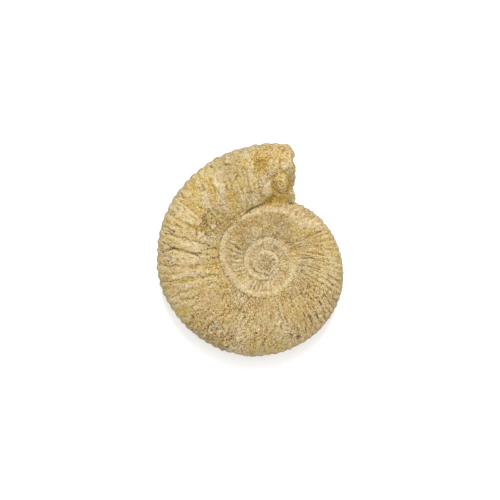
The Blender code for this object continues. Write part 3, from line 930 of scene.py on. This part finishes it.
def wear_skin(skin):
    """Give the whole stone its uneven, pitted weathering."""
    rough = BASE_ROUGH + PATCH_ROUGH * skin.coarse
    rough += INNER_ROUGH * blend(*INNER_TURNS, skin.turn)
    rough += HUB_ROUGH * blend(*HUB_STARTS, skin.radius)
    for first, last, fade, whole, gone, added, dirt_and_shade in ROUGH_STRETCHES:
        share = window(first, last, fade, skin.coil) * blend(gone, whole, skin.part)
        rough += added * share
        skin.tint("dirt_and_shade", dirt_and_shade * share)
    skin.rough = np.clip(rough, *ROUGH_RANGE)

    pocks = bell(skin.cells(*POCKS), POCK_HALF_WIDTH) * blend(*POCKED, skin.medium)
    bands = skin.combed(*BANDS)
    wrinkles = skin.combed(*WRINKLES)
    veins = sum(bell(skin.combed(*vein), VEIN_HALF_WIDTH) for vein in VEINS)
    veins *= blend(*VEINED, skin.medium)
    skin.push += COARSE_RISE * skin.coarse + MEDIUM_RISE * skin.medium + BAND_RISE * bands
    skin.push += skin.rough * (FINE_RISE * skin.fine + CRUMB_RISE * skin.grain(*CRUMBS))
    kept = SMOOTH_WRINKLES + (1 - SMOOTH_WRINKLES) * skin.rough
    skin.push += WRINKLE_RISE * wrinkles * kept
    skin.push -= POCK_DEPTH * pocks * skin.rough + VEIN_DEPTH * veins
    skin.tint("dirt_and_shade", POCK_DIRT * pocks * skin.rough)
    skin.tint("dirt_and_shade", VEIN_DIRT * veins)
    skin.tint("dirt_and_shade", WRINKLE_DIRT * blend(*DIRTY_WRINKLES, -wrinkles))
    skin.tint("pale_and_highlight", BAND_PALE * blend(*PALE_BANDS, bands) * (1 - skin.rough))
    yellow = blend(*YELLOW_BANDS, -bands) * window(*YELLOW_STRETCH, skin.coil)
    skin.tint("yellow", BAND_YELLOW * yellow)


def paint_rim_shade(skin):
    """Paint shade on the outer edge, grey in patches, where the stone turns over, and darker
    along its lower side.
    """
    outward = (skin.normals[:, 0] * skin.x + skin.normals[:, 1] * skin.y) / skin.radius
    slope = np.abs(skin.normals[:, 2]) + 0.12 * skin.medium + 0.1 * skin.coarse
    patches = 0.75 + 0.35 * skin.medium + 0.3 * skin.coarse
    share = blend(*RIM_STEEP, slope) * blend(*RIM_FACING, outward)
    share *= blend(*RIM_RADII, skin.radius) * patches
    # painted shade: grey where the rim turns away, and darker on its lower side
    skin.tint("grey_and_rim_shade", RIM_SHADE_GREY * share)
    skin.tint("dirt_and_shade", RIM_SHADE_DARK * share * window(*RIM_DARKER_STRETCH, skin.coil) * skin.top)


def dent_mouth(skin):
    """Wear the hollows between the knobs of the mouth's edge."""
    facing = blend(*MOUTH_FACING, skin.normals[:, 0]) * blend(*MOUTH_EDGE, skin.x)
    for y, half_width, depth in MOUTH_DENTS:
        skin.push -= depth * facing * bell(skin.y - y, half_width)


def carve_ribs(skin):
    """Cut the ribs that repeat, round-backed between narrow grooves, where wear left them."""
    patchy = blend(*RIBS_LEFT, skin.coarse + 0.5 * skin.medium)
    for first, last, near, far, beats, height, kept, half_width, below in RIBBED:
        step = RIB_STEP / beats
        phase = (skin.rib - FIRST_RIB_GROOVE) / step % 1
        back = np.sin(pi * phase) ** RIB_ROUNDNESS
        groove = skin.beat(step, FIRST_RIB_GROOVE, half_width)
        share = window(first, last, RIB_FADE, skin.coil)
        share *= window(near, far, RIB_END_FADE, skin.part)
        share *= 1 - skin.top if below else skin.top
        share *= height * (kept + (1 - kept) * patchy)
        skin.push += (back - RIB_MEAN - GROOVE_DEPTH * groove) * share
        skin.tint("dirt_and_shade", GROOVE_DIRT * groove * share)
        skin.tint("pale_and_highlight", RIB_PALE * back ** 2 * share)


def carve_ridge(skin):
    """Raise the smooth ridge of the inner whorls over their browner floors."""
    angles, radii = zip(*RIDGE)
    along = skin.coil - 360
    away = skin.radius - np.interp(along, angles, radii)
    on_inner = skin.top * (skin.turn > 0)
    inward = blend(*SECOND_RIDGE, along)
    half_width, height = (first + (last - first) * inward
                          for first, last in (RIDGE_HALF_WIDTHS, RIDGE_HEIGHTS))
    first, last, fade, wider = WIDE_RIDGE
    half_width = half_width * (1 + wider * window(first, last, fade, along))
    first, last, lost = BROKEN_RIDGE
    broken = lost * blend(first, last, along) * blend(*RIDGE_BREAKS, skin.medium)
    ridge = bell(away, half_width) * on_inner * (1 - broken)
    floor = on_inner * blend(0, -FLOOR_SLOPE, away)
    skin.push += height * ridge * (0.85 + 0.3 * skin.medium) - FLOOR_DEPTH * floor
    skin.rough = np.clip(skin.rough * (1 - 0.6 * ridge), *RIDGE_ROUGH_RANGE)
    # the ridge's pale tint is partly its cleaner, worn stone and partly a painted highlight on
    # its crest
    skin.tint("pale_and_highlight", (0.45 + 0.3 * skin.medium) * ridge)
    skin.tint("dirt_and_shade", FLOOR_DIRT * floor * (1 + skin.medium))
    skin.tint("ochre", FLOOR_OCHRE * floor * blend(-0.3, 0.5, skin.medium + 0.5 * skin.fine))


def crease_and_shade_seam(skin):
    """Deepen the seam and darken it with painted shade."""
    base = skin.coil - 360 * skin.turn
    for first, last, depth, half_width in CREASES:
        for turn in range(TURNS):
            angle = base + 360 * turn
            cut = bell(skin.radius - seam_radius(angle), half_width) * skin.top
            cut *= depth * window(first, last, CREASE_FADE, angle)
            skin.push -= cut
            # the crease's darkness is painted shade
            skin.tint("dirt_and_shade", cut)


def break_patches(skin):
    """Sink the patches where the flank has flaked off, rough and dirty inside."""
    angle = skin.coil + 3 * skin.stray_x + 3 * skin.fine
    radius = skin.radius + 0.8 * skin.stray_y + 0.9 * skin.fine
    for first, last, near, far, depth, dirt_and_shade in FLAKED:
        share = window(first, last, STEP_ANGLE, angle) * window(near, far, STEP_RADIUS, radius)
        share *= skin.top
        skin.push -= share * (depth - 0.15 * skin.fine - 0.15 * skin.medium)
        skin.rough += 0.3 * share
        skin.tint("dirt_and_shade", dirt_and_shade * share * (0.7 + 0.7 * skin.fine + 0.5 * skin.medium))


def cut_paths(skin):
    """Cut the cracks and grooves, which fade at their ends, and sink the pits."""
    for paths, depth, half_width, shoulders, name, strength in CUTS:
        for path in paths:
            away, along = skin.near_path(path)
            keep = window(*CUT_ENDS, along) * skin.top * (0.8 + 0.4 * skin.medium)
            core = bell(away, half_width)
            shoulder = bell(away, half_width * SHOULDER)
            skin.push -= depth * (core + shoulders * (shoulder - core)) * keep
            skin.tint(name, strength * core * keep)
    for x, y, half_x, half_y, turn, depth in PITS:
        pit = depth * bell(skin.oval(x, y, half_x, half_y, turn), 1) * skin.top
        skin.push -= pit
        skin.tint("dirt_and_shade", PIT_DIRT * pit)


def stain(skin):
    """Lay every stain on the top, with a ragged edge."""
    ragged = 0.3 * skin.medium + 0.5 * skin.fine
    for name, stains in STAINS.items():
        for x, y, half_x, half_y, turn, strength in stains:
            away = skin.oval(x, y, half_x, half_y, turn) + ragged
            skin.tint(name, strength * blend(*STAIN_EDGE, away) * skin.top)


def grow_lumps(skin):
    """Raise the smooth, pale lumps, with rings on the backs of some of them."""
    for x, y, half_x, half_y, turn, rise, rings in LUMPS:
        away = skin.oval(x, y, half_x, half_y, turn) + 0.08 * skin.fine
        inside = blend(*LUMP_EDGE, away) * skin.top
        skin.push *= 1 - LUMP_SMOOTHING * inside
        skin.push += rise * inside * (1 - LUMP_DOME * away)
        skin.tints["dirt_and_shade"] *= 1 - LUMP_CLEANING * inside
        skin.rough *= 1 - LUMP_POLISH * inside
        if rings:
            wave = np.cos(2 * pi * rings * away) * blend(*RING_EDGE, away) * skin.top
            wave *= rise / TALLEST_LUMP
            skin.push += RING_HEIGHT * wave
            skin.tint("pale_and_highlight", RING_PALE * wave)
            for name in ("ochre", "dirt_and_shade"):
                skin.tints[name] *= 1 - RING_CLEANING * np.clip(wave, 0, 1)


def smoothed(mesh, values, rounds):
    """Average values over each point's neighbours, a number of times."""
    count = len(mesh.vertices)
    ends = np.empty(len(mesh.edges) * 2, int)
    mesh.edges.foreach_get("vertices", ends)
    first, second = ends.reshape(-1, 2).T
    starts, stops = np.concatenate((first, second)), np.concatenate((second, first))
    met = np.bincount(starts, minlength=count)
    for _ in range(rounds):
        values = np.stack([np.bincount(starts, column[stops], count) / met
                           for column in values.T], axis=1)
    return values


def round_worn_places(mesh, skin):
    """Smooth the ribs away where the top is worn."""
    worn = smoothed(mesh, skin.spots, WEAR_ROUNDS)
    share = np.zeros(len(skin.x))
    for place in WORN_PLACES:
        share = np.maximum(share, blend(*WORN_EDGE, skin.oval(*place)))
    skin.spots += (worn - skin.spots) * (share * skin.top)[:, None]


def paint_shade_and_highlight(mesh, skin, spots):
    """Paint shade into the carved surface's hollows and a highlight on what stands proud."""
    normals = read_points(mesh.vertex_normals, "vector")
    hollow = sum(gain * ((smoothed(mesh, spots, rounds) - spots) * normals).sum(axis=1)
                 for rounds, gain in HOLLOWS)
    hollow *= UNDER_SHADE + (1 - UNDER_SHADE) * blend(*UNDER_FACING, normals[:, 2])
    painted_shade = np.clip(hollow, 0, 1) * (1 - OCHRE_KEPT_UNSHADED * skin.tints["ochre"])
    # painted shade goes into the dirt tint, and painted highlight into the pale tint
    for name, added in (("dirt_and_shade", HOLLOW_SHADE * painted_shade),
                        ("pale_and_highlight", PROUD_HIGHLIGHT * np.clip(-hollow, 0, 1))):
        skin.tints[name] = np.clip(skin.tints[name] + added, 0, 1)


def carve(mesh):
    """Wear, cut, crust and stain the fused skin, paint shade in its hollows and highlights on
    what stands proud, and keep its tints on the mesh.
    """
    skin = Skin(mesh)
    round_worn_places(mesh, skin)
    for work in (wear_skin, paint_rim_shade, dent_mouth, carve_ribs, carve_ridge, crease_and_shade_seam,
                 break_patches, cut_paths, stain, grow_lumps):
        work(skin)
    spots = skin.spots + skin.normals * skin.push[:, None]
    mesh.vertices.foreach_set("co", spots.ravel())
    mesh.update()
    paint_shade_and_highlight(mesh, skin, spots)
    for name in TINTS:
        store(mesh, name, skin.tints[name])
    store(mesh, "grit", skin.rough)


def store(mesh, name, values):
    """Keep values on a mesh's points, where the material reads them."""
    layer = mesh.attributes.new(name, "FLOAT", "POINT")
    layer.data.foreach_set("value", np.asarray(values, np.float32))


# --------------------------------------------------------------- material

CREAM = "9C8B65"
TAN = "90754B"
YELLOW = "9C8746"
# The dirt, pale and grey colours also paint shade, highlights and the rim's shade.
TINT_COLOURS = (("pale_and_highlight", "B1A282", 0.85), ("yellow", "998338", 0.85),
                ("ochre", "957622", 0.92), ("grey_and_rim_shade", "7E765A", 0.85),
                ("dirt_and_shade", "553D12", 0.85))
MATT = 0.9                 # the roughness of dry, weathered stone
# Where the stone drifts to another shade: over what distance in metres, how sharply,
# and how far.
DRIFTS = ((TAN, 0.007, 0.12, 1.0), (YELLOW, 0.008, 0.12, 0.55))
DRIFT_DETAIL = 3.0
# The grains: size in metres and share. A limestone's own finest grains, under a tenth of a
# millimetre, are too fine to show, so these are drawn as coarse as they need to be.
GRAINS = ((0.0004, 0.65), (0.0009, 0.25), (0.0024, 0.1))
GRAIN_DETAIL = 1.0
SPECKLE = (0.62, 0.56, 0.38)       # how much light the grains add or take, as a colour
GRIT_SWING = 0.7                   # how much more where the stone has weathered rough
GRAIN_BUMP, GRAIN_DEPTH = 0.8, 0.0008
# A Mix node's sockets for colours, by number, as others share their names.
MIX_SHARE, MIX_FROM, MIX_TO, MIX_RESULT = 0, 6, 7, 2


def limestone():
    """Cream limestone fill: matt, grainy, with dirt and painted shade in its hollows, painted
    highlights, and ochre stains.
    """
    material = bpy.data.materials.new("limestone")
    material.use_nodes = True
    tree = material.node_tree
    shader = tree.nodes["Principled BSDF"]
    shader.inputs["Roughness"].default_value = MATT
    place = add(tree, "ShaderNodeTexCoord").outputs["Object"]
    # cream, tan and yellow drift into one another over a few millimetres
    colour = add(tree, "ShaderNodeRGB").outputs[0]
    colour.default_value = hex_colour(CREAM)
    layers = []
    for shade, size, spread, most in DRIFTS:
        mottle = add(tree, "ShaderNodeTexNoise", {"Scale": 1 / size, "Detail": DRIFT_DETAIL},
                     {"Vector": place})
        drift = add(tree, "ShaderNodeMapRange", {"From Min": 0.5 - spread,
                                                 "From Max": 0.5 + spread, "To Max": most},
                    {"Value": mottle.outputs[0]})
        layers.append((shade, drift))
    # the stains and dirt, with the painted shade and highlights, lie over that
    for name, shade, strength in TINT_COLOURS:
        tint = add(tree, "ShaderNodeAttribute", {"attribute_name": name})
        share = add(tree, "ShaderNodeMath", {"operation": "MULTIPLY", 1: strength},
                    {0: tint.outputs["Fac"]})
        layers.append((shade, share))
    for shade, share in layers:
        mix = add(tree, "ShaderNodeMix", {"data_type": "RGBA", MIX_TO: hex_colour(shade)},
                  {MIX_SHARE: share.outputs[0], MIX_FROM: colour})
        colour = mix.outputs[MIX_RESULT]
    # dark and light grains, stronger where the surface has weathered
    grains = add(tree, "ShaderNodeValue").outputs[0]
    grains.default_value = -0.5
    for size, share in GRAINS:
        speck = add(tree, "ShaderNodeTexNoise", {"Scale": 1 / size, "Detail": GRAIN_DETAIL},
                    {"Vector": place})
        grains = add(tree, "ShaderNodeMath", {"operation": "MULTIPLY_ADD", 1: share},
                     {0: speck.outputs[0], 2: grains}).outputs[0]
    grit = add(tree, "ShaderNodeAttribute", {"attribute_name": "grit"})
    swing = add(tree, "ShaderNodeMath", {"operation": "MULTIPLY_ADD", 1: GRIT_SWING, 2: 1.0},
                {0: grit.outputs["Fac"]})
    shade = add(tree, "ShaderNodeMath", {"operation": "MULTIPLY"},
                {0: grains, 1: swing.outputs[0]})
    speckle = add(tree, "ShaderNodeVectorMath", {"operation": "SCALE", 0: SPECKLE},
                  {"Scale": shade.outputs[0]})
    grainy = add(tree, "ShaderNodeVectorMath", {"operation": "ADD"},
                 {0: colour, 1: speckle.outputs[0]})
    tree.links.new(grainy.outputs[0], shader.inputs["Base Color"])
    bump = add(tree, "ShaderNodeBump", {"Strength": GRAIN_BUMP, "Distance": GRAIN_DEPTH},
               {"Height": grains})
    tree.links.new(bump.outputs[0], shader.inputs["Normal"])
    return material


# ------------------------------------------------------------- the fossil

def lay_down(spots):
    """Level the underside, wear it flat where it rests, and centre the stone."""
    turn = np.array(Euler((radians(LEVEL_TURN[0]), radians(LEVEL_TURN[1]), 0)).to_matrix())
    spots = (spots * np.array((*SQUASH, 1.0))) @ turn.T
    low, high = spots.min(axis=0), spots.max(axis=0)
    spots -= ((low[0] + high[0]) / 2, (low[1] + high[1]) / 2, low[2] + WEAR)
    spots[:, 2] = np.maximum(spots[:, 2], 0.0)
    return spots * MM


def build_fossil():
    """Make the whole stone, with its material, as one object."""
    stone = limestone()
    tube = build_tube(stone)
    balls = [((x, y, z), (radius, radius, radius)) for x, y, z, radius in MOUTH_KNOBS]
    add_balls(tube, balls + [SEAM_FILL, HUB_FILL])
    mesh = thin_underside(fuse_skin(tube))
    carve(mesh)
    mesh.vertices.foreach_set("co", lay_down(read_points(mesh.vertices, "co")).ravel())
    mesh.materials.clear()
    mesh.materials.append(stone)
    mesh.shade_smooth()
    return put("fossil", mesh)


fossil = build_fossil()
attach(fossil, "root")
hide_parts("ammonite")

# ------------------------------------------------------------------- stage

FLOOR_HALF = 2.0
PAPER = "F3F3F3"
DAYLIGHT = (1.0, 1.0, 1.0, 1.0)
DAYLIGHT_STRENGTH = 1.33
SOFTBOX_PLACE = (0.04, 0.58, 0.85)
SOFTBOX_SIZE = 0.35
SOFTBOX_POWER = 11.0       # watts
FIELD = 0.2                # width of the view at the stone's mid height
LENS = 100.0
SENSOR = 36.0
MID_HEIGHT = 0.013


def lay_floor():
    """A wide sheet of matt white paper under the stone."""
    paper = bpy.data.materials.new("white paper")
    paper.use_nodes = True
    shader = paper.node_tree.nodes["Principled BSDF"]
    shader.inputs["Base Color"].default_value = hex_colour(PAPER)
    shader.inputs["Roughness"].default_value = MATT
    mesh = bpy.data.meshes.new("floor")
    corners = [(x * FLOOR_HALF, y * FLOOR_HALF, 0)
               for x, y in ((-1, -1), (1, -1), (1, 1), (-1, 1))]
    mesh.from_pydata(corners, [], [range(4)])
    mesh.materials.append(paper)
    return put("floor", mesh)


def light_studio():
    """Soft white light from all round, with a softbox above the stone's far side."""
    world = bpy.data.worlds.new("studio")
    world.use_nodes = True
    background = world.node_tree.nodes["Background"]
    background.inputs["Color"].default_value = DAYLIGHT
    background.inputs["Strength"].default_value = DAYLIGHT_STRENGTH
    bpy.context.scene.world = world
    lamp = bpy.data.lights.new("softbox", "AREA")
    lamp.shape = "SQUARE"
    lamp.size = SOFTBOX_SIZE
    lamp.energy = SOFTBOX_POWER
    softbox = put("softbox", lamp)
    softbox.location = SOFTBOX_PLACE
    softbox.rotation_euler = (-Vector(SOFTBOX_PLACE)).to_track_quat("-Z", "Y").to_euler()


def aim_camera():
    """Look straight down through a long lens, so that the stone shows in plan."""
    camera = bpy.data.cameras.new("camera")
    camera.lens = LENS
    camera.sensor_width = SENSOR
    view = put("camera", camera)
    view.location = (0, 0, MID_HEIGHT + FIELD * LENS / SENSOR)
    bpy.context.scene.camera = view
    bpy.context.scene.view_settings.view_transform = "Standard"


lay_floor()
light_studio()
aim_camera()
